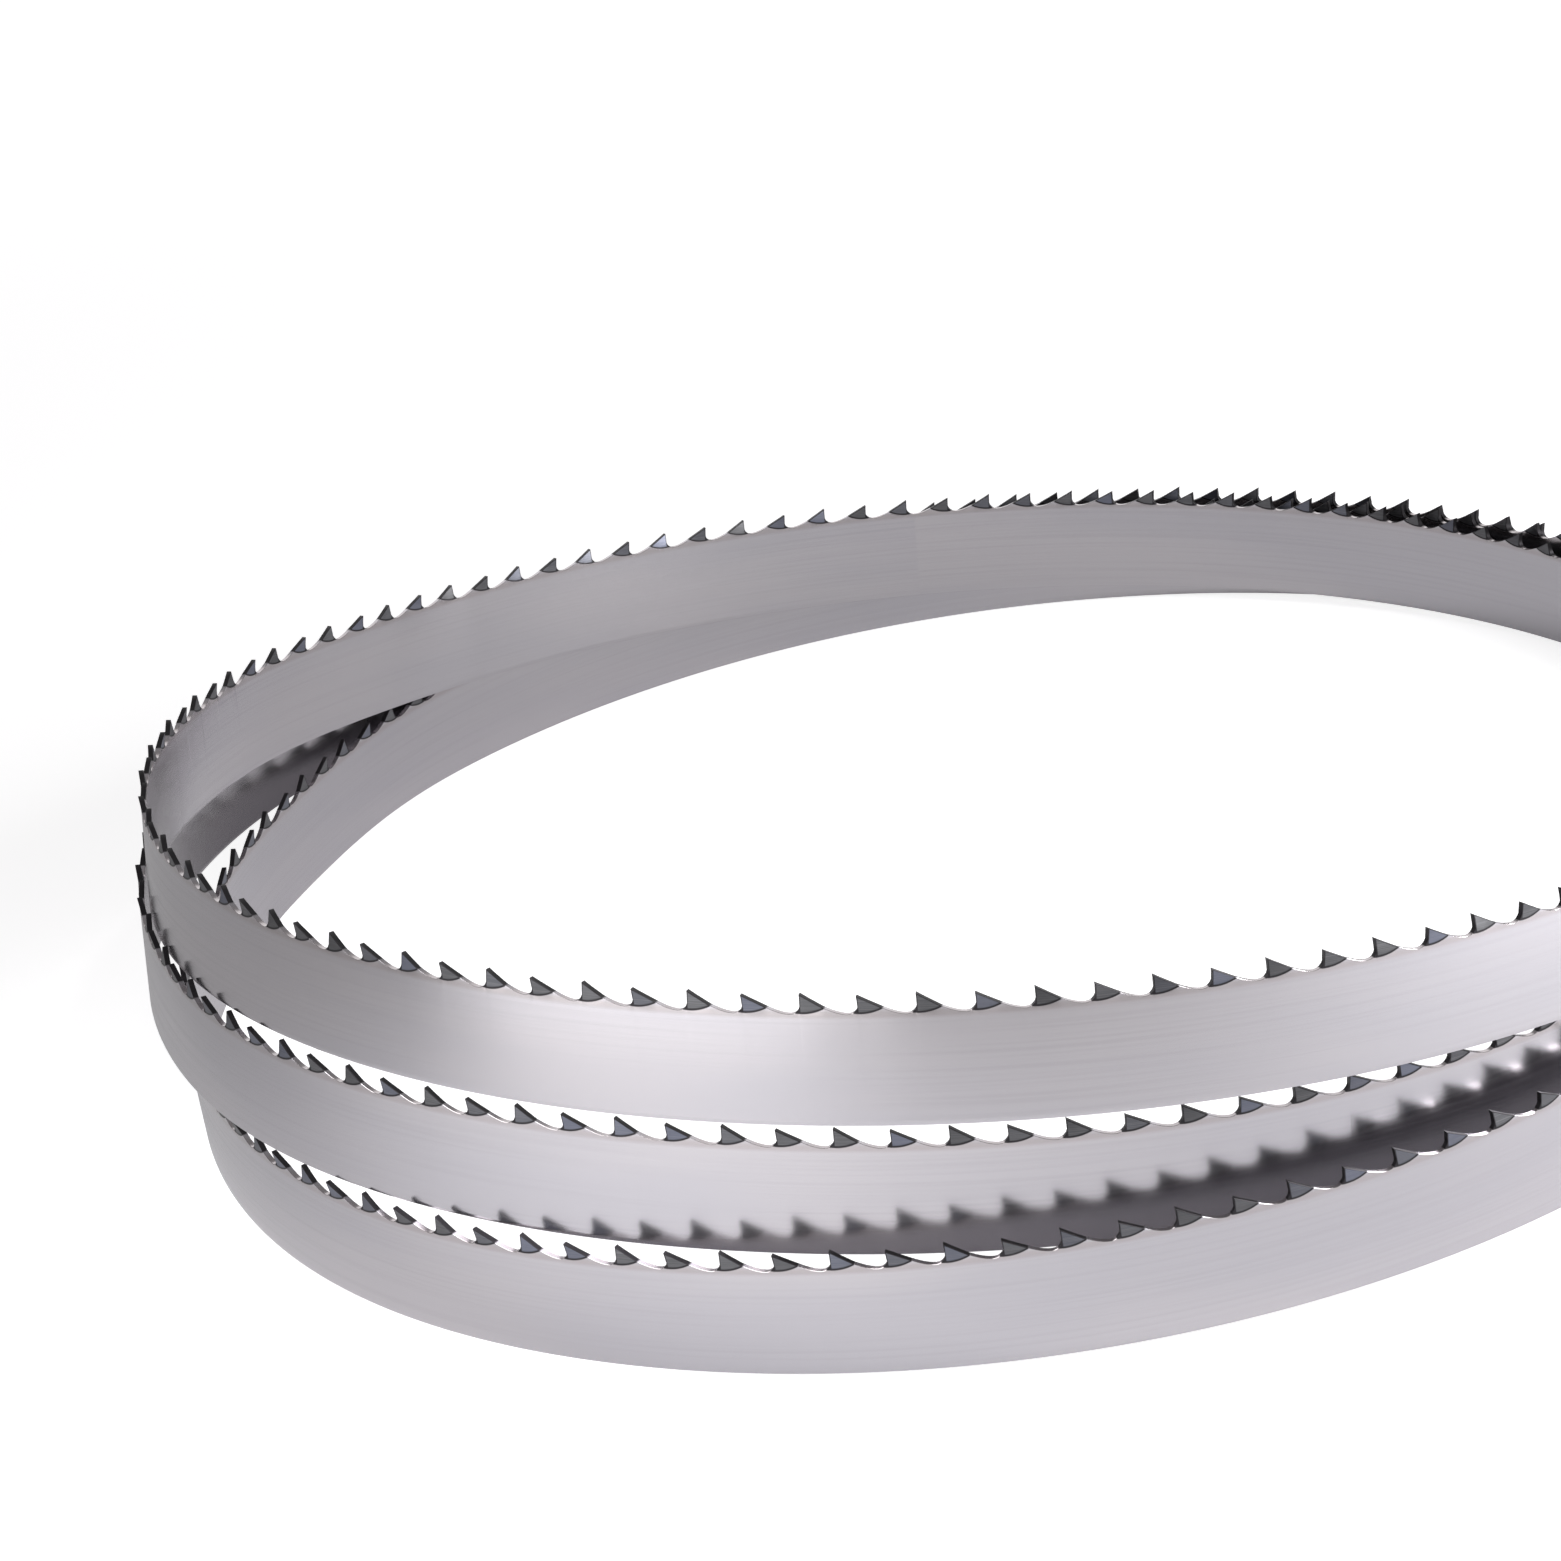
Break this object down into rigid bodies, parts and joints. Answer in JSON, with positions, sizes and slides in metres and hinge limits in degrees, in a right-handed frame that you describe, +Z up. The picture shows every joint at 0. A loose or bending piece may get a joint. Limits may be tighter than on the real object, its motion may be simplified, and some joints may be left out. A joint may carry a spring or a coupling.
{
  "type": "band saw blade",
  "caption": "Endless band saw blade of thin polished steel with set hook teeth on one edge, folded into a round coil of stacked loops that rests on its back edge.",
  "frame": {"origin": "middle of the coil's outline at floor level", "axes": "+Z up, towards the tooth tips; +Y towards the rear, where the loops nest together; the loops are stacked highest at the front left"},
  "size_m": [0.2958, 0.3222, 0.0614],
  "materials": {
    "steel": "polished along the band, with darkened teeth"
  },
  "bodies": {
    "root": {"saw_band": "steel"}
  },
  "joints": []
}
